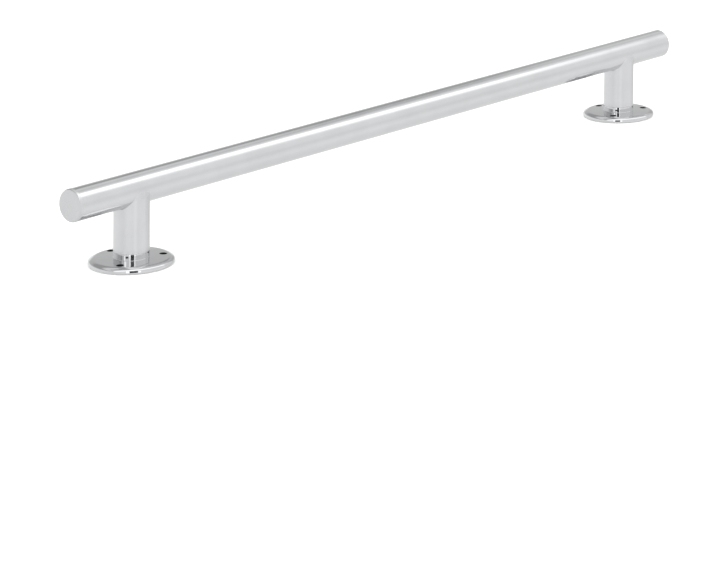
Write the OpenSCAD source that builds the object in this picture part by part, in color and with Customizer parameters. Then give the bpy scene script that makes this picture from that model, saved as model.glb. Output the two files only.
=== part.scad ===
// Straight stainless grab rail for a boat deck or cabin side.
// A round hand tube with plugged ends is welded onto two round posts, and each post is
// drawn down onto the boss of a round screw-on flange by a countersunk screw from below.
// Frame: X runs along the rail with the near end at -X, Z is up, and the origin is
// midway between the posts on the mounting plane. All sizes are in millimetres.

/* [Hand rail] */
// Overall length of the rail, over both end plugs
rail_len = 710; // [690:10:1500]
// Outside diameter of the rail tube
rail_d = 25; // [20:0.5:26]
// Wall thickness of the rail tube
rail_wall = 1.5; // [1.2:0.1:2]
// Height of the rail's axis above the mounting plane
rail_axis_h = 56; // [44:1:120]
// Radius that softens the rim of each end plug
plug_round = 1.3; // [0.5:0.1:2]

/* [Posts] */
// Distance between the axes of the two posts
post_spacing = 590; // [200:10:610]
// Outside diameter of a post
post_d = 26.9; // [25:0.1:28]
// Wall thickness of a post
post_wall = 1.6; // [1.4:0.1:2]
// How far below the rail's axis the cheeks of a post's saddle stop
cheek_drop = 5.8; // [5.2:0.1:6.8]
// Leg length of the dressed fillet weld at each saddle
weld_leg = 1; // [0.6:0.1:1.4]

/* [Flanges] */
// Outside diameter of a flange
flange_d = 64; // [60:0.5:90]
// Thickness of a flange where its rim starts to curve down
rim_h = 4.7; // [4.5:0.1:5.2]
// Height of the boss that a post stands on
boss_h = 9.8; // [9:0.1:12]
// How far each flange is turned on its screw, out of line with the rail
flange_turn = -3; // [-60:1:60]
// Diameter of the circle that the fixing holes lie on
hole_circle_d = 47.5; // [42:0.5:50]
// Diameter of a fixing hole
hole_d = 5.5; // [4:0.1:6.5]

/* [Hidden] */
$fn = 128;
satin = [0.80, 0.80, 0.81];
mirror_polish = [0.68, 0.69, 0.71];
weld_grey = [0.72, 0.72, 0.73];
screw_grey = [0.60, 0.61, 0.62];
overlap = 0.3;              // how far joined pieces of one outline reach into each other

// rail tube and end plugs
rail_r = rail_d / 2;
rail_bore_r = rail_r - rail_wall;
plug_rim = 3;               // thickness of a plug outside the tube
spigot_len = 7;             // length of a plug inside the tube
spigot_lead = 0.5;          // chamfer that starts the spigot into the tube
tube_end_x = rail_len / 2 - plug_rim;
weld_prep = 0.8;            // chamfer on every edge that a ring weld fills
vent_d = 5;                 // opening between the rail and each post, for welding gas

// posts and the bush in each foot
post_r = post_d / 2;
post_bore_r = post_r - post_wall;
post_top = rail_axis_h - cheek_drop;
seat_z = boss_h;            // top of the flange's boss, where the post stands
bush_len = 14;
spigot_h = 1.5;             // spigot on the boss that centres the post's bush
spigot_r = 8;
spigot_gap = 0.1;
spigot_chamfer = 0.4;

// flanges: a nearly flat top that rolls over a wide edge into a rounded rim and foot
flange_r = flange_d / 2;
boss_r = post_r;
boss_chamfer = 0.15;
boss_fillet = 0.25;
foot_round = 1.6;
rim_round = 1.9;
edge_round = 7.5;           // radius of the wide curve between the top and the rim
edge_width = 4.5;           // how far inside the rim that curve starts
slope = 1.7;                // fall of the top from the boss to that curve, in degrees
edge_x = flange_r - edge_width;
edge_centre = [edge_x - edge_round * sin(slope), rim_h - edge_round * cos(slope)];
rim_x = flange_r - rim_round;
rim_rise = sqrt(pow(edge_round - rim_round, 2) - pow(rim_x - edge_centre.x, 2));
rim_z = edge_centre.y + rim_rise;
rim_meets = edge_centre + edge_round / (edge_round - rim_round) * [rim_x - edge_centre.x, rim_rise];
hole_r = hole_d / 2;
hole_circle_r = hole_circle_d / 2;
hole_angles = [-30, 90, 210];
hole_break = 0.15;          // broken edge at the mouth of each fixing hole

// countersunk screw, M8, with a hexagon socket
screw_r = 4;
screw_hole_r = 4.2;
head_r = 8.2;
head_recess = 0.3;          // the head stops this far inside the flange
screw_len = 20;
screw_tip = 0.9;
key_af = 5;                 // hexagon socket, across flats
key_depth = 3;

// saddle weld: a ring of cross-sections, one for each step around the post
weld_steps = 96;
arc_steps = 4;
blend_drop = 1.2;           // over a cheek, how far below the rail's axis the weld runs out
knee_share = 0.35;          // height of the bend in that long slope, as a share of it
cheek_y = sqrt(pow(rail_r, 2) - pow(cheek_drop, 2));
blend_y = sqrt(pow(rail_r, 2) - pow(blend_drop, 2));
skin = 0.02;                // the ring's edges are sunk this far into the tubes
root_r = post_bore_r + 0.2; // radius at which the weld's root lies in the post's wall
root_inset = 0.95;          // how far the root reaches into the rail's wall, sideways
root_lift = 0.6;            // and upwards

// height of the flange's sloping top at radius r
function top_z(r) = rim_h + tan(slope) * (edge_x - r);

// height on the underside of the rail at a distance y from its middle plane
function rail_under(y) = rail_axis_h - sqrt(pow(rail_r, 2) - y * y);

function limited(value, limit) = max(-limit, min(limit, value));

// point at radius r and height z, at angle t around the post
function around(r, t, z) = [r * cos(t), r * sin(t), z];

// point on the rail's surface, at angle phi around the rail from its underside
function on_rail(x, phi) =
    [x, (rail_r - skin) * sin(phi), rail_axis_h - (rail_r - skin) * cos(phi)];

// point at parameter s on the curve from a to b that leaves both towards k
function curve(a, k, b, s) = pow(1 - s, 2) * a + 2 * s * (1 - s) * k + s * s * b;

// cross-section of the saddle weld at angle t: foot on the post, curve, toe on the
// rail, and two root points buried in the tube walls. Round the cope the foot runs down
// the post by one leg; over a cheek it stays on the cheek's edge, and the weld is dressed
// to a long slope up the side of the rail.
function weld_section(t) =
    let (
        y = post_r * sin(t),
        edge_z = rail_under(limited(y, cheek_y)),
        blend_z = rail_under(limited(y, blend_y)),
        cheek = (blend_z - edge_z) / (cheek_drop - blend_drop),
        foot = around(post_r - skin, t, edge_z - weld_leg * (1 - cheek) - skin),
        knee = around(post_r, t, blend_z - cheek * (1 - knee_share) * (blend_z - edge_z)),
        phi = asin(limited(y, blend_y) / rail_r) + weld_leg / rail_r * (180 / PI) * sin(t),
        toe = on_rail((post_r + weld_leg) * cos(t), phi),
        root_y = limited(root_r * sin(t), blend_y - root_inset)
    )
    concat(
        [for (i = [0 : arc_steps]) curve(foot, knee, toe, i / arc_steps)],
        [[root_r * cos(t), root_y, blend_z + root_lift * (1 - cheek)]],
        [around(root_r, t, edge_z - overlap)]
    );

// closed ring skinned over a list of equal cross-sections
module skinned_ring(sections) {
    rows = len(sections);
    cols = len(sections[0]);
    points = [for (section = sections) for (p = section) p];
    faces = [
        for (i = [0 : rows - 1])
        for (j = [0 : cols - 1])
        let (
            next_i = (i + 1) % rows,
            next_j = (j + 1) % cols,
            a = i * cols + j,
            b = next_i * cols + j,
            c = next_i * cols + next_j,
            d = i * cols + next_j
        )
        for (face = [[a, c, b], [a, d, c]]) face
    ];
    polyhedron(points, faces, convexity = 6);
}

// solid of revolution around the rail's axis; its outline's Y runs along +X
module turned_on_rail() {
    translate([0, 0, rail_axis_h])
        rotate([0, 90, 0])
            rotate_extrude()
                children();
}

// the full round of the rail over one post, used to cut what the rail passes through
module rail_round() {
    translate([0, 0, rail_axis_h])
        rotate([0, 90, 0])
            cylinder(r = rail_r, h = 2 * post_d, center = true);
}

// a piece drawn around its own post axis goes to the near or to the far post
module at_near_post() {
    translate([-post_x(), 0, 0]) children();
}

module at_far_post() {
    translate([post_x(), 0, 0]) children();
}

function post_x() = post_spacing / 2;

// ---- pieces, each drawn once around its own axis ----

// plug: a round-edged disc with a spigot, drawn from the tube's end outwards
module end_plug() {
    turned_on_rail() {
        translate([rail_r - plug_round, tube_end_x + plug_rim - plug_round])
            circle(plug_round);
        translate([0, tube_end_x])
            polygon([
                [0, -spigot_len],
                [rail_bore_r - spigot_lead, -spigot_len],
                [rail_bore_r, spigot_lead - spigot_len],
                [rail_bore_r, 0],
                [rail_r - weld_prep, 0],
                [rail_r, weld_prep],
                [rail_r, plug_rim - plug_round],
                [rail_r - plug_round, plug_rim],
                [0, plug_rim]
            ]);
    }
}

// ring weld in the groove between the tube's end and the plug, dressed flush
module plug_weld() {
    turned_on_rail()
        translate([rail_r, tube_end_x])
            polygon([[-weld_prep, 0], [0, -weld_prep], [0, weld_prep]]);
}

// post: tube with its top coped to cup the rail and its cheeks cut level
module post_tube() {
    difference() {
        translate([0, 0, seat_z])
            cylinder(r = post_r, h = post_top - seat_z);
        translate([0, 0, seat_z - overlap])
            cylinder(r = post_bore_r, h = post_top);
        translate([0, 0, seat_z])
            cylinder(r1 = post_bore_r + weld_prep, r2 = post_bore_r, h = weld_prep);
        rail_round();
    }
}

// fillet weld that follows the saddle and fills the cheeks up to the rail
module saddle_weld() {
    difference() {
        skinned_ring([for (i = [0 : weld_steps - 1]) weld_section(360 * i / weld_steps)]);
        rail_round();
        translate([0, 0, seat_z])
            cylinder(r = post_r, h = post_top - seat_z);
    }
}

// bush: the screw's thread is drawn as a plain bore at its full diameter
module foot_bush() {
    translate([0, 0, seat_z])
        rotate_extrude()
            polygon([
                [spigot_r + spigot_gap, 0],
                [post_bore_r - weld_prep, 0],
                [post_bore_r, weld_prep],
                [post_bore_r, bush_len],
                [screw_r, bush_len],
                [screw_r, spigot_h + spigot_gap],
                [spigot_r + spigot_gap, spigot_h + spigot_gap]
            ]);
}

// ring weld between the post's foot and the bush, dressed flush with the foot
module bush_weld() {
    translate([0, 0, seat_z])
        rotate_extrude()
            translate([post_bore_r, 0])
                polygon([[-weld_prep, 0], [weld_prep, 0], [0, weld_prep]]);
}

// half section of the flange: rounded foot and rim, wide rolled edge, sloping top, and a
// boss with a centring spigot and a countersunk screw hole
module flange_outline() {
    polygon([
        [head_r + head_recess, 0],
        [flange_r - foot_round, 0],
        [flange_r, foot_round],
        [flange_r, rim_z],
        rim_meets,
        [edge_x, rim_h],
        [boss_r, top_z(boss_r)],
        [boss_r, boss_h - boss_chamfer],
        [boss_r - boss_chamfer, boss_h],
        [spigot_r, boss_h],
        [spigot_r, boss_h + spigot_h - spigot_chamfer],
        [spigot_r - spigot_chamfer, boss_h + spigot_h],
        [screw_hole_r, boss_h + spigot_h],
        [screw_hole_r, head_r + head_recess - screw_hole_r]
    ]);
    translate([flange_r - foot_round, foot_round])
        circle(foot_round);
    translate([rim_x, rim_z])
        circle(rim_round);
    intersection() {
        translate(edge_centre)
            circle(edge_round);
        translate([edge_x, rim_z])
            square([rim_meets.x - edge_x, rim_h]);
    }
    boss_fillet_outline();
}

// concave corner between the boss's wall and the sloping top
module boss_fillet_outline() {
    x = boss_r + boss_fillet;
    z = top_z(x) + boss_fillet / cos(slope);
    toe_x = x - boss_fillet * sin(slope);
    toe_z = z - boss_fillet * cos(slope);
    difference() {
        polygon([
            [boss_r - overlap, toe_z - overlap],
            [toe_x, toe_z - overlap],
            [toe_x, toe_z],
            [x, z],
            [boss_r, z],
            [boss_r - overlap, z]
        ]);
        translate([x, z])
            circle(boss_fillet);
    }
}

// one fixing hole, with its upper edge broken
module fixing_hole() {
    mouth_z = top_z(hole_circle_r);
    translate([0, 0, -1])
        cylinder(r = hole_r, h = boss_h);
    translate([0, 0, mouth_z - hole_break])
        cylinder(r1 = hole_r, r2 = hole_r + 3 * hole_break, h = 3 * hole_break);
}

module flange() {
    difference() {
        rotate_extrude()
            flange_outline();
        for (angle = hole_angles)
            rotate([0, 0, angle + flange_turn])
                translate([hole_circle_r, 0, 0])
                    fixing_hole();
    }
}

// countersunk screw, head down, that pulls the post's bush onto the flange
module flange_screw() {
    translate([0, 0, head_recess])
        difference() {
            rotate_extrude()
                polygon([
                    [0, 0],
                    [head_r, 0],
                    [screw_r, head_r - screw_r],
                    [screw_r, screw_len - screw_tip],
                    [screw_r - screw_tip, screw_len],
                    [0, screw_len]
                ]);
            translate([0, 0, -1])
                cylinder(d = key_af / cos(30), h = 1 + key_depth, $fn = 6);
        }
}

// ---- nodes ----

// hand tube, chamfered outside at both ends for the ring welds, with a vent over each post
module rail_tube() {
    color(satin)
        difference() {
            turned_on_rail()
                polygon([
                    [rail_bore_r, -tube_end_x],
                    [rail_r - weld_prep, -tube_end_x],
                    [rail_r, weld_prep - tube_end_x],
                    [rail_r, tube_end_x - weld_prep],
                    [rail_r - weld_prep, tube_end_x],
                    [rail_bore_r, tube_end_x]
                ]);
            for (side = [-1, 1])
                translate([side * post_x(), 0, rail_axis_h - rail_d])
                    cylinder(d = vent_d, h = rail_d);
        }
}

module far_end_plug() {
    color(satin) end_plug();
}

module near_end_plug() {
    color(satin) mirror([1, 0, 0]) end_plug();
}

module far_plug_weld() {
    color(weld_grey) plug_weld();
}

module near_plug_weld() {
    color(weld_grey) mirror([1, 0, 0]) plug_weld();
}

module near_post_tube() {
    color(satin) at_near_post() post_tube();
}

module far_post_tube() {
    color(satin) at_far_post() post_tube();
}

module near_saddle_weld() {
    color(weld_grey) at_near_post() saddle_weld();
}

module far_saddle_weld() {
    color(weld_grey) at_far_post() saddle_weld();
}

module near_foot_bush() {
    color(satin) at_near_post() foot_bush();
}

module far_foot_bush() {
    color(satin) at_far_post() foot_bush();
}

module near_bush_weld() {
    color(weld_grey) at_near_post() bush_weld();
}

module far_bush_weld() {
    color(weld_grey) at_far_post() bush_weld();
}

module near_flange() {
    color(mirror_polish) at_near_post() flange();
}

module far_flange() {
    color(mirror_polish) at_far_post() flange();
}

module near_flange_screw() {
    color(screw_grey) at_near_post() flange_screw();
}

module far_flange_screw() {
    color(screw_grey) at_far_post() flange_screw();
}

rail_tube();
near_end_plug();
far_end_plug();
near_plug_weld();
far_plug_weld();
near_post_tube();
far_post_tube();
near_saddle_weld();
far_saddle_weld();
near_foot_bush();
far_foot_bush();
near_bush_weld();
far_bush_weld();
near_flange();
far_flange();
near_flange_screw();
far_flange_screw();
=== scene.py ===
"""Looks of a straight stainless grab rail: a plugged hand tube on two posts with polished round flanges.

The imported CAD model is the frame. The outer pieces are rebuilt here at the same size with dense, exactly
shaded meshes, because polished round metal shows every facet. Bushes, their welds and the screws stay as
CAD nodes with their own materials. Everything is in metres.
"""

import math

import bpy
import numpy as np
from mathutils import Matrix, Vector


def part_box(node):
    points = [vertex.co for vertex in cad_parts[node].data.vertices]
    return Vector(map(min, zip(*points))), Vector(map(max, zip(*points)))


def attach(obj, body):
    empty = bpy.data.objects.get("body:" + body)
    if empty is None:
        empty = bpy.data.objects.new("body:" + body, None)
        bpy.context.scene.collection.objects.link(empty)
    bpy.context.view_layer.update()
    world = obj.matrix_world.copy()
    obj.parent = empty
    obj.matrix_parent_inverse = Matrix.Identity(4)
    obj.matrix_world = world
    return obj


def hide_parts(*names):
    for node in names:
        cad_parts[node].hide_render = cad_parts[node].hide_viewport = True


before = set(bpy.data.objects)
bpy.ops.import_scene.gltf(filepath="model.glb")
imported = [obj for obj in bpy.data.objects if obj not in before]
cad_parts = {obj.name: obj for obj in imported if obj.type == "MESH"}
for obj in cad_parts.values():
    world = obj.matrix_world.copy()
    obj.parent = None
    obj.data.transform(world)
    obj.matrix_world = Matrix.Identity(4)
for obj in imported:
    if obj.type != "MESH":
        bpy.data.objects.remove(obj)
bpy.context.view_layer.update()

MM = 0.001
FULL_TURN = 2 * math.pi

# ---- sizes the node boxes don't give ----
RAIL_WALL = 1.5 * MM
POST_WALL = 1.6 * MM
WELD_PREP = 0.8 * MM           # chamfer that a ring weld fills
VENT_R = 2.5 * MM              # gas vent in the rail over each post
PLUG_ROUND = 1.3 * MM          # edge round a plug's outer face
SPIGOT_LEAD = 0.5 * MM         # lead-in of a plug's spigot
WELD_LEG = 1.0 * MM
BLEND_DROP = 1.2 * MM          # how far below the rail's axis a saddle weld runs out
KNEE_SHARE = 0.35              # how far up the cheek a saddle weld bends
SKIN = 0.02 * MM               # how far a saddle weld sinks into the metal beside it
ROOT_RISE = 0.05 * MM          # how far a saddle weld's root rises into the rail
RIM_H = 4.7 * MM               # thickness of a flange where its edge starts to curve down
RIM_ROUND = 1.9 * MM
FOOT_ROUND = 1.6 * MM
EDGE_ROUND = 7.5 * MM          # the wide curve from a flange's top down to its rim
EDGE_WIDTH = 4.5 * MM
SLOPE = math.radians(1.7)      # fall of a flange's top from the boss to the edge
BOSS_CHAMFER = 0.15 * MM
BOSS_FILLET = 0.25 * MM
FLANGE_SPIGOT_R = 8.0 * MM
SPIGOT_CHAMFER = 0.4 * MM
SCREW_HOLE_R = 4.2 * MM
SCREW_MOUTH_R = 8.5 * MM       # countersink for the flange screw
HOLE_R = 2.75 * MM
HOLE_CIRCLE_R = 23.75 * MM
HOLE_BREAK = 0.15 * MM         # broken edge of a deck-screw hole
HOLE_ANGLES = (-30, 90, 210)
FLANGE_TURN = -3               # degrees that both hole patterns are out of line with the rail

# ---- places that the node boxes give ----
rail_lo, rail_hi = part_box("rail_tube")
RAIL_R = (rail_hi.z - rail_lo.z) / 2
RAIL_Z = (rail_hi.z + rail_lo.z) / 2
TUBE_END = rail_hi.x
plug_lo, plug_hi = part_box("far_end_plug")
PLUG_IN = plug_lo.x
PLUG_OUT = plug_hi.x
post_lo, post_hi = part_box("far_post_tube")
POST_X = (post_lo.x + post_hi.x) / 2
POST_R = (post_hi.x - post_lo.x) / 2
SEAT_Z = post_lo.z
POST_TOP = post_hi.z
flange_lo, flange_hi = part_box("far_flange")
FLANGE_R = (flange_hi.x - flange_lo.x) / 2
FLANGE_TOP = flange_hi.z
RAIL_BORE = RAIL_R - RAIL_WALL
POST_BORE = POST_R - POST_WALL
CHEEK_DROP = RAIL_Z - POST_TOP

# ---- fineness ----
ROUND_STEPS = 256
FLANGE_STEPS = 384
SADDLE_STEPS = 384
HOLE_STEPS = 64
ARC_STEPS = 12
FILLET_STEPS = 10
EDGE_STEPS = 16
BOSS_STEPS = 8
WALL_ROWS = 10
COPE_ROWS = 4
RAIL_PIECE = 12 * MM           # longest straight stretches of the outlines
FACE_PIECE = 2 * MM
FLANGE_PIECE = 1.5 * MM

# ---- material numbers of a flange's faces ----
HOLE_WALL = 1
FACED = 2


# ---- outlines: lists of (point a, point b, normal at a, normal at b), material on the left ----
def line(*points):
    """Straight edges through the points."""
    edges = []
    for a, b in zip(points, points[1:]):
        length = math.hypot(b[0] - a[0], b[1] - a[1])
        normal = ((b[1] - a[1]) / length, (a[0] - b[0]) / length)
        edges.append((a, b, normal, normal))
    return edges


def arc(centre, radius, start, end, steps=ARC_STEPS):
    """Edges along an arc, angles in degrees; an arc that runs clockwise is hollow."""
    sign = 1 if end > start else -1
    edges = []
    for i in range(steps):
        ends = []
        for k in (i, i + 1):
            turn = math.radians(start + (end - start) * k / steps)
            way = (math.cos(turn), math.sin(turn))
            ends.append(((centre[0] + radius * way[0], centre[1] + radius * way[1]),
                         (sign * way[0], sign * way[1])))
        edges.append((ends[0][0], ends[1][0], ends[0][1], ends[1][1]))
    return edges


def between(a, b, share):
    """The pair that share of the way from a to b."""
    return (a[0] + (b[0] - a[0]) * share, a[1] + (b[1] - a[1]) * share)


def split(edges, longest):
    """The same outline with no edge longer than longest."""
    short = []
    for a, b, na, nb in edges:
        count = max(1, math.ceil(math.hypot(b[0] - a[0], b[1] - a[1]) / longest))
        for k in range(count):
            s, e = k / count, (k + 1) / count
            short.append((between(a, b, s), between(a, b, e), between(na, nb, s), between(na, nb, e)))
    return short


# ---- meshes ----
class Axis:
    """An axis of turning: along X or Z, through a point, looking back if flipped."""

    def __init__(self, along, centre, flip=False):
        self.along = along
        self.centre = Vector(centre)
        self.flip = flip

    def way(self, r, h, t):
        c, s = r * math.cos(t), r * math.sin(t)
        v = Vector((h, c, s)) if self.along == "X" else Vector((c, s, h))
        if self.flip:
            v.x = -v.x
        return v

    def point(self, r, h, t):
        return self.centre + self.way(r, h, t)


def new_mesh(name, verts, faces):
    mesh = bpy.data.meshes.new(name)
    mesh.from_pydata(verts, [], faces)
    mesh.update()
    return mesh


def new_object(name, mesh):
    obj = bpy.data.objects.new(name, mesh)
    bpy.context.scene.collection.objects.link(obj)
    return obj


def shade(mesh, normals):
    """Gives every face corner its own normal."""
    mesh.polygons.foreach_set("use_smooth", [True] * len(mesh.polygons))
    mesh.normals_split_custom_set([n if n.length > 0 else Vector((0, 0, 1)) for n in normals])


def turned(name, edges, axis, steps=ROUND_STEPS):
    """A solid of revolution with exact normals from its closed outline."""
    verts, faces, normals, rings = [], [], [], {}

    def ring(point):
        key = (round(point[0] * 1e8), round(point[1] * 1e8))
        if key not in rings:
            start = len(verts)
            if key[0] == 0:
                verts.append(axis.point(0, point[1], 0))
                rings[key] = [start] * steps
            else:
                verts.extend(axis.point(*point, FULL_TURN * k / steps) for k in range(steps))
                rings[key] = list(range(start, start + steps))
        return rings[key]

    for a, b, na, nb in edges:
        ring_a, ring_b = ring(a), ring(b)
        for k in range(steps):
            n = (k + 1) % steps
            t, u = FULL_TURN * k / steps, FULL_TURN * (k + 1) / steps
            corners = [(ring_a[k], na, t), (ring_a[n], na, u), (ring_b[n], nb, u), (ring_b[k], nb, t)]
            kept = []
            for corner in corners:
                if all(corner[0] != other[0] for other in kept):
                    kept.append(corner)
            if axis.flip:
                kept.reverse()
            faces.append([corner[0] for corner in kept])
            normals.extend(axis.way(*corner[1], corner[2]).normalized() for corner in kept)
    mesh = new_mesh(name, verts, faces)
    shade(mesh, normals)
    return new_object(name, mesh)


def ring_faces(steps, cols):
    """Faces of a closed ring of sections, each face as four (section, point) pairs."""
    for k in range(steps):
        n = (k + 1) % steps
        for j in range(cols):
            m = (j + 1) % cols
            yield (k, j), (n, j), (n, m), (k, m)


def drill(name, x, y, low, high, mouths):
    """A cutter on a vertical axis; mouths are (height, radius) from the bottom up."""
    wall = [(r, h) for h, r in mouths]
    edges = line((0, low), (wall[0][0], low), *wall, (wall[-1][0], high), (0, high))
    return turned(name, edges, Axis("Z", (x, y, 0)), HOLE_STEPS)


def cut(obj, cutters):
    """Cuts the other objects out of obj and removes them."""
    for cutter in cutters:
        boolean = obj.modifiers.new("cut", "BOOLEAN")
        boolean.operation = "DIFFERENCE"
        boolean.solver = "EXACT"
        boolean.object = cutter
    bpy.context.view_layer.update()
    graph = bpy.context.evaluated_depsgraph_get()
    mesh = bpy.data.meshes.new_from_object(obj.evaluated_get(graph))
    obj.modifiers.clear()
    obj.data = mesh
    for cutter in cutters:
        bpy.data.objects.remove(cutter)


NO_LENGTH = 1e-9
TURN_COST = 0.2    # millimetres of distance that a normal square to the face counts for
LEVEL = 0.95       # upward share of a normal from which a face is no hole's wall
HOLE_REACH = 1.01  # how far beyond its radius a hole's wall is looked for


def outline_normals(place, face_normals, edges, axis):
    """Each corner's normal, from the outline's edge that is nearest and faces its way."""
    order = [1, 2, 0] if axis.along == "X" else [0, 1, 2]
    local = (place - np.array(axis.centre))[:, order]
    local_n = face_normals[:, order]
    r = np.hypot(local[:, 0], local[:, 1])
    spoke = local[:, :2] / np.maximum(r, NO_LENGTH)[:, None]
    flat = np.stack([(local_n[:, :2] * spoke).sum(1), local_n[:, 2]], 1)
    best = np.full(len(r), np.inf)
    chosen = flat.copy()
    for edge in edges:
        a, b, na, nb = map(np.array, edge)
        along = b - a
        offset = np.stack([r, local[:, 2]], 1) - a
        share = np.clip(offset @ along / (along @ along), 0, 1)[:, None]
        away = np.hypot(*(offset - share * along).T)
        normal = na + (nb - na) * share
        normal /= np.hypot(*normal.T)[:, None]
        cost = away / MM + TURN_COST * (1 - (normal * flat).sum(1))
        better = cost < best
        best[better] = cost[better]
        chosen[better] = normal[better]
    turned_back = np.concatenate([chosen[:, :1] * spoke, chosen[:, 1:]], 1)
    return turned_back[:, np.argsort(order)]


def exact_normals(obj, edges, axis, holes):
    """Shades a drilled turned solid from its outline, and its upright holes (x, y, reach) from their axes."""
    mesh = obj.data
    places = np.empty(len(mesh.vertices) * 3)
    mesh.vertices.foreach_get("co", places)
    vert = np.empty(len(mesh.loops), int)
    mesh.loops.foreach_get("vertex_index", vert)
    place = places.reshape(-1, 3)[vert]
    starts = [p.loop_start for p in mesh.polygons]
    totals = [p.loop_total for p in mesh.polygons]
    face_normals = np.repeat(np.array([p.normal for p in mesh.polygons]), totals, axis=0)
    normals = outline_normals(place, face_normals, edges, axis)
    rise = np.clip(face_normals[:, 2], -1, 1)
    for x, y, reach in holes:
        side = place[:, :2] - (x, y)
        away = np.hypot(side[:, 0], side[:, 1])
        inside = np.repeat(np.logical_and.reduceat(away < reach, starts), totals)
        wall = inside & (np.abs(rise) < LEVEL)
        inward = -side / np.maximum(away, NO_LENGTH)[:, None]
        wall_normals = np.column_stack([inward * np.sqrt(1 - rise ** 2)[:, None], rise])
        normals[wall] = wall_normals[wall]
        for index in np.flatnonzero(wall[starts]):
            mesh.polygons[index].material_index = HOLE_WALL
    shade(mesh, [Vector(n) for n in normals])


# ---- shader nodes ----
def tree_of(owner):
    owner.use_nodes = True
    tree = owner.node_tree
    tree.nodes.clear()
    return tree


def node(tree, kind, inputs=None, **settings):
    """A new node; inputs maps an input's name or number to a value or to another node's output."""
    made = tree.nodes.new(kind)
    for key, value in settings.items():
        setattr(made, key, value)
    for key, value in (inputs or {}).items():
        if isinstance(value, bpy.types.NodeSocket):
            tree.links.new(value, made.inputs[key])
        else:
            made.inputs[key].default_value = value
    return made


def ramp(tree, value, stops):
    """A grey or coloured ramp through (place, colour) stops."""
    made = node(tree, "ShaderNodeValToRGB", {0: value})
    elements = made.color_ramp.elements
    while len(elements) < len(stops):
        elements.new(0.5)
    for element, (place, colour) in zip(elements, stops):
        element.position = place
        if not isinstance(colour, tuple):
            colour = (colour, colour, colour)
        element.color = (*colour, 1)
    return made.outputs[0]


def maths(tree, operation, *values):
    return node(tree, "ShaderNodeMath", dict(enumerate(values)), operation=operation).outputs[0]


def blend_in(tree, value, low, high):
    """0 below low, 1 above high, smooth between."""
    return node(tree, "ShaderNodeMapRange", {0: value, 1: low, 2: high, 3: 0.0, 4: 1.0},
                interpolation_type="SMOOTHSTEP").outputs[0]


def mix_colours(tree, kind, a, b, share=1.0):
    return node(tree, "ShaderNodeMixRGB", {0: share, 1: a, 2: b}, blend_type=kind).outputs[0]


def mix_shaders(tree, share, a, b):
    return node(tree, "ShaderNodeMixShader", {0: share, 1: a.outputs[0], 2: b.outputs[0]})


def noise(tree, scale, stretch=(1, 1, 1), detail=3.0, coordinates=None):
    if coordinates is None:
        coordinates = node(tree, "ShaderNodeTexCoord").outputs["Object"]
    mapped = node(tree, "ShaderNodeMapping", {0: coordinates})
    mapped.inputs["Scale"].default_value = stretch
    return node(tree, "ShaderNodeTexNoise", {
        "Vector": mapped.outputs[0], "Scale": scale, "Detail": detail}).outputs[0]


def bump(tree, height, depth, strength=1.0, over=None):
    inputs = {"Strength": strength, "Distance": depth, "Height": height}
    if over is not None:
        inputs["Normal"] = over
    return node(tree, "ShaderNodeBump", inputs).outputs[0]


def metal(tree, colour, roughness, normal=None):
    inputs = {"Base Color": colour, "Metallic": 1.0, "Roughness": roughness}
    if normal is not None:
        inputs["Normal"] = normal
    return node(tree, "ShaderNodeBsdfPrincipled", inputs)


CORNER_SAMPLES = 8
CORNER = 0.35      # openness at which the painted corner shade is darkest
OPEN = 0.85        # openness from which no shade is painted
DARKER = 0.97      # share of its tint that a metal keeps where it is cloudy


def cloudy(tree, cloud, tint, brighter):
    """The tint in soft patches, a little darker here and brighter by the given factor there."""
    low = tuple(c * DARKER for c in tint)
    high = tuple(min(1.0, c * brighter) for c in tint)
    return ramp(tree, cloud, [(0.3, low), (0.7, high)])


def painted_corner_shade(tree, colour, reach, share):
    """The colour with painted shade in its corners: down to that share of itself where other metal lies
    within reach.
    """
    corners = node(tree, "ShaderNodeAmbientOcclusion", {"Distance": reach}, samples=CORNER_SAMPLES)
    openness = corners.outputs["AO"]
    dim = node(tree, "ShaderNodeMapRange", {0: openness, 1: CORNER, 2: OPEN, 3: share, 4: 1.0}).outputs[0]
    return mix_colours(tree, "MULTIPLY", colour, dim)


def lathe_turned(tree):
    """Coordinates in which a pattern runs in rings round the nearer post's axis."""
    coordinates = node(tree, "ShaderNodeTexCoord").outputs["Object"]
    place = node(tree, "ShaderNodeSeparateXYZ", {0: coordinates}).outputs
    off_axis = maths(tree, "SUBTRACT", maths(tree, "ABSOLUTE", place[0]), POST_X)
    square = maths(tree, "MULTIPLY_ADD", off_axis, off_axis, maths(tree, "MULTIPLY", place[1], place[1]))
    return node(tree, "ShaderNodeCombineXYZ", {0: maths(tree, "SQRT", square), 2: place[2]}).outputs[0]


# ---- materials ----
POLISH_PATCH = 0.05              # how much roughness changes from patch to patch
POLISH_STREAK = 0.03             # and from grain line to grain line
PORE_SHARE = 0.4                 # depth of the fine pores as a share of the grain's
# reach of the shade painted into the corners of satin metal and welds
CREVICE_SHADE_REACH = 1.2 * MM
# reach of the shade painted into the mirror flange's corners
MIRROR_CREVICE_SHADE_REACH = 0.6 * MM


def bore(name):
    """The unpolished wall of a drilled hole, its colour near black as painted shade of the cavity."""
    material = bpy.data.materials.new(name)
    tree = tree_of(material)
    rings = noise(tree, 700.0, (1, 1, 6))
    # painted shade: a near-black colour stands in for the shade inside the hole
    colour = ramp(tree, rings, [(0.3, 0.030), (0.7, 0.055)])
    ridges = bump(tree, rings, 0.01 * MM, 0.6)
    shader = metal(tree, colour, maths(tree, "MULTIPLY_ADD", rings, 0.2, 0.45), ridges)
    node(tree, "ShaderNodeOutputMaterial", {0: shader.outputs[0]})
    return material


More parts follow.
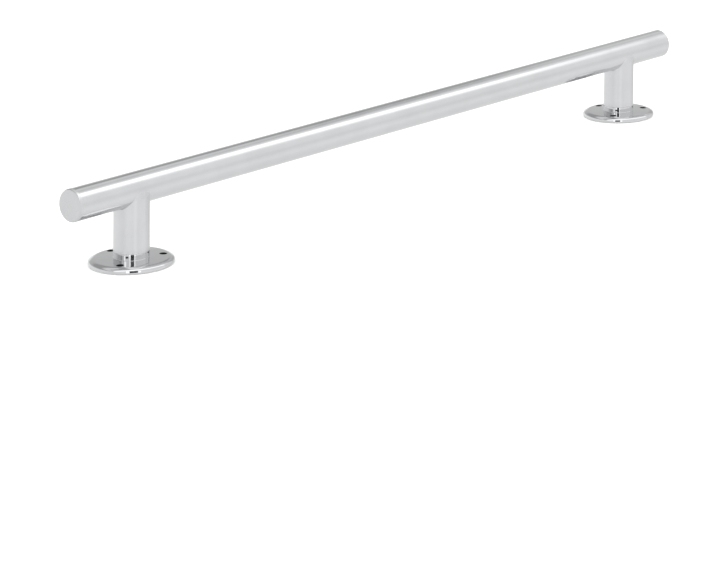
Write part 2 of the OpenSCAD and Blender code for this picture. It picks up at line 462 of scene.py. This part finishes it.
def mirror_steel(name, tint, haze_rough, haze_share):
    """Mirror-polished metal: a perfect mirror under a thin patchy haze of finger marks and wiping lines, its
    colour darkened by painted shade in corners.
    """
    material = bpy.data.materials.new(name)
    tree = tree_of(material)
    cloud = noise(tree, 60.0, detail=5.0)
    wipe = noise(tree, 500.0, (1, 0.15, 1))
    # painted shade: the colour falls to 0.45 of itself in the flange's corners
    colour = painted_corner_shade(tree, cloudy(tree, cloud, tint, 1.02), MIRROR_CREVICE_SHADE_REACH, 0.45)
    clear = metal(tree, colour, 0.0)
    haze_roughness = maths(tree, "MULTIPLY_ADD", wipe, haze_rough, haze_rough / 2)
    haze = metal(tree, colour, haze_roughness, bump(tree, wipe, 3e-4 * MM))
    share = maths(tree, "MULTIPLY", blend_in(tree, cloud, 0.35, 0.75), haze_share)
    node(tree, "ShaderNodeOutputMaterial", {0: mix_shaders(tree, share, clear, haze).outputs[0]})
    return material


def steel(name, tint, rough, grain_stretch, grain_scale, grain_depth, rings=False, crevice_shade=0.0):
    """Bare metal: grain lines in the bump, patchy polish in the roughness, faint cloudiness in the tint.

    With rings the grain is that of a lathe. With a crevice share above zero, shade is painted into the
    metal's corners, darkening it down to that share of its colour.
    """
    material = bpy.data.materials.new(name)
    tree = tree_of(material)
    grain = noise(tree, grain_scale, grain_stretch, 4.0, lathe_turned(tree) if rings else None)
    cloud = noise(tree, 45.0, detail=5.0)
    fine = noise(tree, 900.0, detail=2.0)
    polish = maths(tree, "MULTIPLY_ADD", cloud, 2 * POLISH_PATCH, rough - POLISH_PATCH)
    streak = maths(tree, "MULTIPLY_ADD", grain, 2 * POLISH_STREAK, -POLISH_STREAK)
    roughness = maths(tree, "ADD", polish, streak)
    colour = cloudy(tree, cloud, tint, 1.025)
    # painted shade: the colour darkens where other metal is near
    if crevice_shade:
        colour = painted_corner_shade(tree, colour, CREVICE_SHADE_REACH, crevice_shade)
    lines = bump(tree, grain, grain_depth)
    pores = bump(tree, fine, grain_depth * PORE_SHARE, over=lines)
    shader = metal(tree, colour, roughness, pores)
    node(tree, "ShaderNodeOutputMaterial", {0: shader.outputs[0]})
    return material


TINT = (0.655, 0.660, 0.668)
# The posts and their welds are the same steel as the rail; their lighter tint is painted light that brightens
# their reflections.
POST_LIT_TINT = (0.690, 0.695, 0.704)
MIRROR_TINT = (0.66, 0.665, 0.675)
TURNED_TINT = (0.56, 0.565, 0.57)
FACED_TINT = (0.60, 0.605, 0.61)
EVEN = (1, 1, 1)
ALONG_X = (0.02, 1, 1)
ALONG_Z = (1, 1, 0.02)
rail_satin = steel("rail_satin", TINT, 0.13, ALONG_X, 2600.0, 1.2e-3 * MM)
# painted shade in the post's corners, down to 0.35 of its colour
post_satin = steel("post_satin", POST_LIT_TINT, 0.30, ALONG_Z, 2600.0, 1.5e-3 * MM, crevice_shade=0.35)
cap_satin = steel("cap_satin", TINT, 0.28, (1, 1, 0.05), 1800.0, 1.5e-3 * MM)
mirror = mirror_steel("mirror_flange", MIRROR_TINT, 0.12, 0.15)
bore_painted_shade = bore("bore_painted_shade")
# painted shade in the weld's corners, down to 0.35 of its colour
dressed = steel("dressed_weld", POST_LIT_TINT, 0.30, EVEN, 1500.0, 4e-3 * MM, crevice_shade=0.35)
machined = steel("turned_steel", TURNED_TINT, 0.30, EVEN, 1200.0, 3e-3 * MM, rings=True)
faced = steel("faced_steel", FACED_TINT, 0.22, EVEN, 1600.0, 2e-3 * MM, rings=True)


def finish(obj, slot, material, *others):
    """Gives a piece its material, and the further ones that some of its faces ask for."""
    if obj.data.materials:
        obj.data.materials.clear()
    for one in (material, *others):
        obj.data.materials.append(one)


def stand_in(obj, cad_node, slot, *materials):
    """Finishes a rebuilt piece and puts it in its CAD node's place."""
    finish(obj, slot, *materials)
    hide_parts(cad_node)
    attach(obj, "root")


# ---- hand tube ----
def hand_tube():
    axis = Axis("X", (0, 0, RAIL_Z))
    outline = split(line(
        (RAIL_R - WELD_PREP, -TUBE_END),
        (RAIL_R, WELD_PREP - TUBE_END),
        (RAIL_R, TUBE_END - WELD_PREP),
        (RAIL_R - WELD_PREP, TUBE_END),
        (RAIL_BORE, TUBE_END),
        (RAIL_BORE, -TUBE_END),
        (RAIL_R - WELD_PREP, -TUBE_END)), RAIL_PIECE)
    rail = turned("hand_tube", outline, axis)
    vent_places = (-POST_X, POST_X)
    cut(rail, [drill("vent", x, 0, RAIL_Z - 2 * RAIL_R, RAIL_Z, [(RAIL_Z - RAIL_R, VENT_R)])
               for x in vent_places])
    exact_normals(rail, outline, axis, [(x, 0, VENT_R * HOLE_REACH) for x in vent_places])
    return rail


# ---- end plugs and the ring welds that seal them in ----
plug_outline = (
    line((0, PLUG_IN), (RAIL_BORE - SPIGOT_LEAD, PLUG_IN), (RAIL_BORE, PLUG_IN + SPIGOT_LEAD),
         (RAIL_BORE, TUBE_END), (RAIL_R - WELD_PREP, TUBE_END), (RAIL_R, TUBE_END + WELD_PREP),
         (RAIL_R, PLUG_OUT - PLUG_ROUND))
    + arc((RAIL_R - PLUG_ROUND, PLUG_OUT - PLUG_ROUND), PLUG_ROUND, 0, 90)
    + split(line((RAIL_R - PLUG_ROUND, PLUG_OUT), (0, PLUG_OUT)), FACE_PIECE))
plug_weld_outline = line(
    (RAIL_R, TUBE_END - WELD_PREP), (RAIL_R, TUBE_END + WELD_PREP), (RAIL_R - WELD_PREP, TUBE_END),
    (RAIL_R, TUBE_END - WELD_PREP))


# ---- posts: tubes coped to cup the rail, with cheeks cut level ----
def rail_under(y):
    """Height of the rail's underside."""
    return RAIL_Z - math.sqrt(max(RAIL_R ** 2 - y * y, 0))


def cope(r, t):
    """Height of the post's top edge at radius r and angle t around the post."""
    y = abs(r * math.sin(t))
    return min(POST_TOP, rail_under(y)) if y < RAIL_R else POST_TOP


def post_section(t):
    """(r, z) points: up the outside, across the cope, down the bore and along the weld chamfer."""
    outer_top = cope(POST_R, t)
    bore_top = cope(POST_BORE, t)
    foot = SEAT_Z + WELD_PREP
    outer = [(POST_R, SEAT_Z + (outer_top - SEAT_Z) * k / WALL_ROWS) for k in range(WALL_ROWS + 1)]
    across = [POST_R - POST_WALL * k / COPE_ROWS for k in range(1, COPE_ROWS + 1)]
    top = [(r, cope(r, t)) for r in across]
    inner = [(POST_BORE, foot + (bore_top - foot) * (1 - k / WALL_ROWS)) for k in range(1, WALL_ROWS + 1)]
    return outer + top + inner + [(POST_BORE + WELD_PREP, SEAT_Z)]


INNER_FIRST = WALL_ROWS + COPE_ROWS
wall_faces = {j: 1 for j in range(WALL_ROWS)}
wall_faces.update({j: -1 for j in range(INNER_FIRST, INNER_FIRST + WALL_ROWS)})


def post_tube(name, x):
    """The sections skinned around the post's axis, with exactly round walls."""
    axis = Axis("Z", (x, 0, 0))
    angles = [FULL_TURN * k / ROUND_STEPS for k in range(ROUND_STEPS)]
    rows = [post_section(t) for t in angles]
    cols = len(rows[0])
    corners = list(ring_faces(ROUND_STEPS, cols))
    verts = [axis.point(*p, t) for t, row in zip(angles, rows) for p in row]
    mesh = new_mesh(name, verts, [[k * cols + j for k, j in face] for face in corners])
    normals = []
    for polygon, face in zip(mesh.polygons, corners):
        outward = wall_faces.get(face[0][1])
        for k, _ in face:
            normals.append(axis.way(outward, 0, angles[k]) if outward else polygon.normal.copy())
    shade(mesh, normals)
    return new_object(name, mesh)


# ---- saddle weld: a dressed fillet along the cope that fills the cheeks up to the rail ----
CHEEK_Y = math.sqrt(RAIL_R ** 2 - CHEEK_DROP ** 2)
BLEND_Y = math.sqrt(RAIL_R ** 2 - BLEND_DROP ** 2)
ROOT_Y = RAIL_R * 0.999
CREASE = math.radians(35)


def limited(value, limit):
    return max(-limit, min(limit, value))


def weld_section(t):
    """Points of the fillet at angle t around the post: a curve from foot to toe, then the hidden root."""
    c, s = math.cos(t), math.sin(t)
    y = POST_R * s
    edge_z = rail_under(limited(y, CHEEK_Y))
    blend_z = rail_under(limited(y, BLEND_Y))
    cheek = (blend_z - edge_z) / (CHEEK_DROP - BLEND_DROP)
    foot_r = POST_R - SKIN
    foot = Vector((foot_r * c, foot_r * s, edge_z - WELD_LEG * (1 - cheek) - SKIN))
    knee = Vector((POST_R * c, y, blend_z - cheek * (1 - KNEE_SHARE) * (blend_z - edge_z)))
    phi = math.asin(limited(y, BLEND_Y) / RAIL_R) + WELD_LEG / RAIL_R * s
    toe_r = RAIL_R - SKIN
    toe = Vector(((POST_R + WELD_LEG) * c, toe_r * math.sin(phi), RAIL_Z - toe_r * math.cos(phi)))
    section = []
    for i in range(FILLET_STEPS + 1):
        u = i / FILLET_STEPS
        section.append((1 - u) ** 2 * foot + 2 * u * (1 - u) * knee + u * u * toe)
    root_r = min(POST_R, max(POST_BORE, CHEEK_Y / max(abs(s), NO_LENGTH)))
    root_y = limited(root_r * s, ROOT_Y)
    section.append(Vector((root_r * c, root_y, rail_under(root_y) + ROOT_RISE)))
    section.append(Vector((root_r * c, root_y, min(edge_z, cope(root_r, t)) - SKIN)))
    return section


def saddle_weld(name, x):
    """The fillet's sections, skinned around the post."""
    rows = [weld_section(FULL_TURN * k / SADDLE_STEPS) for k in range(SADDLE_STEPS)]
    cols = len(rows[0])
    verts = [(x + p.x, p.y, p.z) for row in rows for p in row]
    mesh = new_mesh(name, verts, [[k * cols + j for k, j in face] for face in ring_faces(SADDLE_STEPS, cols)])
    mesh.polygons.foreach_set("use_smooth", [True] * len(mesh.polygons))
    mesh.set_sharp_from_angle(angle=CREASE)
    return new_object(name, mesh)


# ---- flanges ----
slope_way = (math.sin(SLOPE), math.cos(SLOPE))
EDGE_X = FLANGE_R - EDGE_WIDTH
edge_centre = (EDGE_X - EDGE_ROUND * slope_way[0], RIM_H - EDGE_ROUND * slope_way[1])
RIM_X = FLANGE_R - RIM_ROUND
RIM_Z = edge_centre[1] + math.sqrt((EDGE_ROUND - RIM_ROUND) ** 2 - (RIM_X - edge_centre[0]) ** 2)
meet_deg = math.degrees(math.atan2(RIM_Z - edge_centre[1], RIM_X - edge_centre[0]))
slope_deg = math.degrees(SLOPE)
FACED_H = 0.02 * MM    # faces below this are the turned underside


def top_z(r):
    """Height of a flange's sloping top at radius r."""
    return RIM_H + math.tan(SLOPE) * (EDGE_X - r)


fillet_x = POST_R + BOSS_FILLET
fillet_z = top_z(fillet_x) + BOSS_FILLET / math.cos(SLOPE)
flange_outline = split(
    line((SCREW_MOUTH_R, 0), (FLANGE_R - FOOT_ROUND, 0))
    + arc((FLANGE_R - FOOT_ROUND, FOOT_ROUND), FOOT_ROUND, -90, 0)
    + line((FLANGE_R, FOOT_ROUND), (FLANGE_R, RIM_Z))
    + arc((RIM_X, RIM_Z), RIM_ROUND, 0, meet_deg)
    + arc(edge_centre, EDGE_ROUND, meet_deg, 90 - slope_deg, EDGE_STEPS)
    + line((EDGE_X, RIM_H), (fillet_x - BOSS_FILLET * slope_way[0], fillet_z - BOSS_FILLET * slope_way[1]))
    + arc((fillet_x, fillet_z), BOSS_FILLET, 270 - slope_deg, 180, BOSS_STEPS)
    + line((POST_R, fillet_z), (POST_R, SEAT_Z - BOSS_CHAMFER), (POST_R - BOSS_CHAMFER, SEAT_Z),
           (FLANGE_SPIGOT_R, SEAT_Z), (FLANGE_SPIGOT_R, FLANGE_TOP - SPIGOT_CHAMFER),
           (FLANGE_SPIGOT_R - SPIGOT_CHAMFER, FLANGE_TOP), (SCREW_HOLE_R, FLANGE_TOP),
           (SCREW_HOLE_R, SCREW_MOUTH_R - SCREW_HOLE_R), (SCREW_MOUTH_R, 0)),
    FLANGE_PIECE)


def flange(name, x):
    """A turned flange with its deck-screw holes, whose walls have a material number of their own."""
    axis = Axis("Z", (x, 0, 0))
    obj = turned(name, flange_outline, axis, FLANGE_STEPS)
    mouth = top_z(HOLE_CIRCLE_R)
    wide_r = HOLE_R + 3 * HOLE_BREAK    # the cutter's cone goes on above the sloping top
    cutters, holes = [], []
    for angle in HOLE_ANGLES:
        centre = axis.point(HOLE_CIRCLE_R, 0, math.radians(angle + FLANGE_TURN))
        mouths = [(mouth - HOLE_BREAK, HOLE_R), (mouth + 2 * HOLE_BREAK, wide_r)]
        cutters.append(drill("hole", centre.x, centre.y, -MM, mouth + MM, mouths))
        holes.append((centre.x, centre.y, wide_r))
    cut(obj, cutters)
    exact_normals(obj, flange_outline, axis, holes)
    for polygon in obj.data.polygons:
        middle = polygon.center
        in_screw_hole = math.hypot(middle.x - x, middle.y) < SCREW_MOUTH_R and middle.z < SEAT_Z
        if in_screw_hole or middle.z < FACED_H:
            polygon.material_index = FACED
    return obj


# ---- assembly ----
stand_in(hand_tube(), "rail_tube", "satin_tube", rail_satin)
for end, side in (("near", -1), ("far", 1)):
    post_x = side * POST_X
    plug_axis = Axis("X", (0, 0, RAIL_Z), side < 0)
    stand_in(turned(f"{end}_plug", plug_outline, plug_axis), f"{end}_end_plug", "satin_tube", cap_satin)
    stand_in(turned(f"{end}_plug_seam", plug_weld_outline, plug_axis), f"{end}_plug_weld",
             "dressed_weld", rail_satin)
    stand_in(post_tube(f"{end}_post", post_x), f"{end}_post_tube", "satin_tube", post_satin)
    stand_in(saddle_weld(f"{end}_saddle", post_x), f"{end}_saddle_weld", "dressed_weld", dressed)
    stand_in(flange(f"{end}_base", post_x), f"{end}_flange", "mirror_flange", mirror, bore_painted_shade, faced)
    for part, slot, material in (
            ("foot_bush", "turned_steel", machined),
            ("bush_weld", "dressed_weld", dressed),
            ("flange_screw", "turned_steel", machined)):
        finish(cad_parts[f"{end}_{part}"], slot, material)

# ---- floor ----
FLOOR_HALF = 12.0
FLOOR_Z = -0.2 * MM


def lay_floor():
    """A pale sheet that is see-through from below and that the metal doesn't see."""
    corners = [(x * FLOOR_HALF, y * FLOOR_HALF, FLOOR_Z) for x, y in ((-1, -1), (1, -1), (1, 1), (-1, 1))]
    floor = new_object("floor", new_mesh("floor", corners, [(0, 1, 2, 3)]))
    paper = bpy.data.materials.new("floor_paper")
    tree = tree_of(paper)
    shade_of_paper = ramp(tree, noise(tree, 30.0, detail=4.0), [(0.3, 0.93), (0.7, 0.95)])
    above = node(tree, "ShaderNodeBsdfDiffuse", {"Color": shade_of_paper})
    from_below = node(tree, "ShaderNodeNewGeometry").outputs["Backfacing"]
    either = mix_shaders(tree, from_below, above, node(tree, "ShaderNodeBsdfTransparent"))
    node(tree, "ShaderNodeOutputMaterial", {0: either.outputs[0]})
    floor.data.materials.append(paper)
    floor.visible_glossy = False


lay_floor()

# ---- studio: a white room with a long light over the rail, as the metal sees it ----
# Stops are (degrees, brightness), the degrees turning about the rail: 0 is level with the camera's side,
# 90 is straight up. Spans are shares of the reflected way that run along the rail, from about 0.64 at its
# near end to 0.78 at its far end.
ROOM_GAIN = 2.0
ROOM_STOPS = [(-180, 1.05), (-160, 0.96), (-104, 0.90), (-70, 0.94), (-35, 1.03), (-20, 1.0), (-5, 0.93),
              (8, 0.93), (16, 0.98), (40, 1.0), (75, 1.05), (93, 0.95), (97, 0.80), (106, 0.74), (113, 0.85),
              (127, 0.85), (133, 0.42), (147, 0.42), (152, 0.58), (162, 0.62), (167, 1.0), (180, 1.05)]
SHADOW_BAND = (127, 160)
FAR_SHADE = 0.62                 # the shadow band's brightness towards the far end
FAR_SPAN = (0.735, 0.765)
MID_SPAN = (0.69, 0.71)
MID_STOPS = [(100, 0.0), (110, 1.0), (130, 1.0), (136, 0.0)]
MID_DARK = 0.33
END_SPAN = (0.79, 0.83)
END_DARK = 0.12
LAMP_STOPS = [(-180, 0.0), (48, 0.0), (54, 0.2), (60, 0.5), (66, 0.75), (80, 0.75), (88, 0.0), (180, 0.0)]
LAMP_LEAN = 7.0                  # degrees that the lamp swings towards the far end
LAMP_LEAN_SPAN = (0.67, 0.76)
LAMP_END_SPAN = (0.748, 0.776)
ROOM_FOR_FLOOR = 1.7             # brightness that the floor sees


def turn_ramp(tree, turn, stops, gain=1.0):
    """A ramp over the turn about the rail, where -180 to 180 degrees is 0 to 1."""
    return ramp(tree, turn, [((degrees + 180) / 360, value / gain) for degrees, value in stops])


def room_colour(tree, turn, way_x):
    """The room without its lamp."""
    band_lo, band_hi = SHADOW_BAND
    far_stops = [(a, FAR_SHADE if band_lo < a < band_hi else v) for a, v in ROOM_STOPS]
    near_room = turn_ramp(tree, turn, ROOM_STOPS, ROOM_GAIN)
    far_room = turn_ramp(tree, turn, far_stops, ROOM_GAIN)
    far = blend_in(tree, way_x, *FAR_SPAN)
    room = mix_colours(tree, "MIX", near_room, far_room, far)
    mid = maths(tree, "MULTIPLY", blend_in(tree, way_x, *MID_SPAN), maths(tree, "SUBTRACT", 1.0, far))
    mid_band = maths(tree, "MULTIPLY", mid, turn_ramp(tree, turn, MID_STOPS))
    mid_light = maths(tree, "MULTIPLY_ADD", mid_band, -MID_DARK, 1.0)
    end_loss = maths(tree, "MULTIPLY", blend_in(tree, way_x, *END_SPAN), END_DARK)
    room = mix_colours(tree, "MULTIPLY", room, maths(tree, "SUBTRACT", mid_light, end_loss))
    return mix_colours(tree, "MULTIPLY", room, (ROOM_GAIN, ROOM_GAIN, ROOM_GAIN, 1))


def lamp_colour(tree, turn, way_x):
    """The long lamp, which ends before the rail's far end."""
    leaning = maths(tree, "MULTIPLY_ADD", blend_in(tree, way_x, *LAMP_LEAN_SPAN), LAMP_LEAN / 360, turn)
    lamp = turn_ramp(tree, leaning, LAMP_STOPS)
    return maths(tree, "MULTIPLY", lamp, maths(tree, "SUBTRACT", 1.0, blend_in(tree, way_x, *LAMP_END_SPAN)))


def light_studio():
    world = bpy.data.worlds.new("studio")
    bpy.context.scene.world = world
    tree = tree_of(world)
    way = node(tree, "ShaderNodeTexCoord").outputs["Generated"]
    way_x, way_y, way_z = node(tree, "ShaderNodeSeparateXYZ", {0: way}).outputs
    radians = maths(tree, "ARCTAN2", way_z, maths(tree, "MULTIPLY", way_y, -1.0))
    turn = maths(tree, "MULTIPLY_ADD", radians, 1 / FULL_TURN, 0.5)
    seen = mix_colours(tree, "ADD", room_colour(tree, turn, way_x), lamp_colour(tree, turn, way_x))
    metal_sees = node(tree, "ShaderNodeBackground", {"Color": seen, "Strength": 1.0})
    floor_sees = node(tree, "ShaderNodeBackground", {"Color": (1, 1, 1, 1), "Strength": ROOM_FOR_FLOOR})
    glossy = node(tree, "ShaderNodeLightPath").outputs["Is Glossy Ray"]
    node(tree, "ShaderNodeOutputWorld", {0: mix_shaders(tree, glossy, floor_sees, metal_sees).outputs[0]})


light_studio()


def card(name, centre, facing, width, low, high, strength, polished=True):
    """An upright panel that only the polished metal sees, or only the satin metal."""
    half = Vector((-facing.y, facing.x, 0)).normalized() * (width / 2)
    foot, head = Vector((0, 0, low)), Vector((0, 0, high))
    corners = [centre - half + foot, centre + half + foot, centre + half + head, centre - half + head]
    obj = new_object(name, new_mesh(name, corners, [(0, 1, 2, 3)]))
    material = bpy.data.materials.new(name)
    tree = tree_of(material)
    light = node(tree, "ShaderNodeEmission", {"Color": (1, 1, 1, 1), "Strength": strength})
    clear = node(tree, "ShaderNodeBsdfTransparent")
    sharp = node(tree, "ShaderNodeLightPath").outputs["Is Singular Ray"]
    dull_sees, polished_sees = (clear, light) if polished else (light, clear)
    either = mix_shaders(tree, sharp, dull_sees, polished_sees)
    node(tree, "ShaderNodeOutputMaterial", {0: either.outputs[0]})
    obj.data.materials.append(material)
    obj.visible_camera = False
    obj.visible_diffuse = False
    obj.visible_shadow = False


CARD_FOOT = -0.6
CARD_HEAD = 0.6
DARK_W = 0.44
WHITE_W = 0.18
DARK_GLOW = 0.01
WHITE_GLOW = 1.6
card_place = Vector((-0.956, -0.909, 0))
card_facing = -card_place.normalized()
across = Vector((-card_facing.y, card_facing.x, 0))
card("lens_side", card_place, card_facing, DARK_W, CARD_FOOT, CARD_HEAD, DARK_GLOW)
for s in (-1, 1):
    white_place = card_place + across * s * (DARK_W + WHITE_W) / 2
    card("white_side", white_place, card_facing, WHITE_W, CARD_FOOT, CARD_HEAD, WHITE_GLOW)

SOFT_W = 0.26
SOFT_FOOT = -0.9
SOFT_GLOW = 1.15
soft_place = Vector((-0.78, -1.43, 0))
soft_facing = -soft_place.normalized()
card("soft_side", soft_place, soft_facing, SOFT_W, SOFT_FOOT, CARD_HEAD, SOFT_GLOW, polished=False)

# ---- camera: where the photographer stood, its lens shifted so that the rail is high in the picture ----
CAMERA_AT = Vector((-1.83225, -1.65560, 0.64828))
YAW, PITCH, ROLL = math.radians(-55.834), math.radians(2.700), math.radians(0.904)
SENSOR = 36.0
LENS = 147.87807
SHIFT_X = -0.630069
SHIFT_Y = -1.019724


def set_camera():
    data = bpy.data.cameras.new("camera")
    camera = new_object("camera", data)
    bpy.context.scene.camera = camera
    ahead = Vector((-math.sin(YAW) * math.cos(PITCH), math.cos(YAW) * math.cos(PITCH), -math.sin(PITCH)))
    right = Vector((math.cos(YAW), math.sin(YAW), 0))
    up = right.cross(ahead)
    tilted_right = right * math.cos(ROLL) + up * math.sin(ROLL)
    tilted_up = up * math.cos(ROLL) - right * math.sin(ROLL)
    camera.location = CAMERA_AT
    camera.rotation_mode = "QUATERNION"
    camera.rotation_quaternion = Matrix((tilted_right, tilted_up, -ahead)).transposed().to_quaternion()
    data.sensor_width = SENSOR
    data.lens = LENS
    data.clip_start = 0.01
    data.clip_end = 100
    return camera


def shift_here(camera, field, amount):
    """A lens shift that holds only while the camera stands at CAMERA_AT, so other views come out centred."""
    curve = camera.data.driver_add(field)
    curve.driver.type = "SUM"
    place = curve.driver.variables.new()
    place.type = "TRANSFORMS"
    place.targets[0].id = camera
    place.targets[0].transform_type = "LOC_X"
    place.targets[0].transform_space = "WORLD_SPACE"
    for modifier in list(curve.modifiers):
        curve.modifiers.remove(modifier)
    curve.extrapolation = "CONSTANT"
    corners = ((-2 * MM, 0), (-MM, amount), (MM, amount), (2 * MM, 0))
    curve.keyframe_points.add(len(corners))
    for key, (away, shift) in zip(curve.keyframe_points, corners):
        key.co = (CAMERA_AT.x + away, shift)
        key.interpolation = "LINEAR"


camera = set_camera()
shift_here(camera, "shift_x", SHIFT_X)
shift_here(camera, "shift_y", SHIFT_Y)
bpy.context.scene.view_settings.view_transform = "Standard"
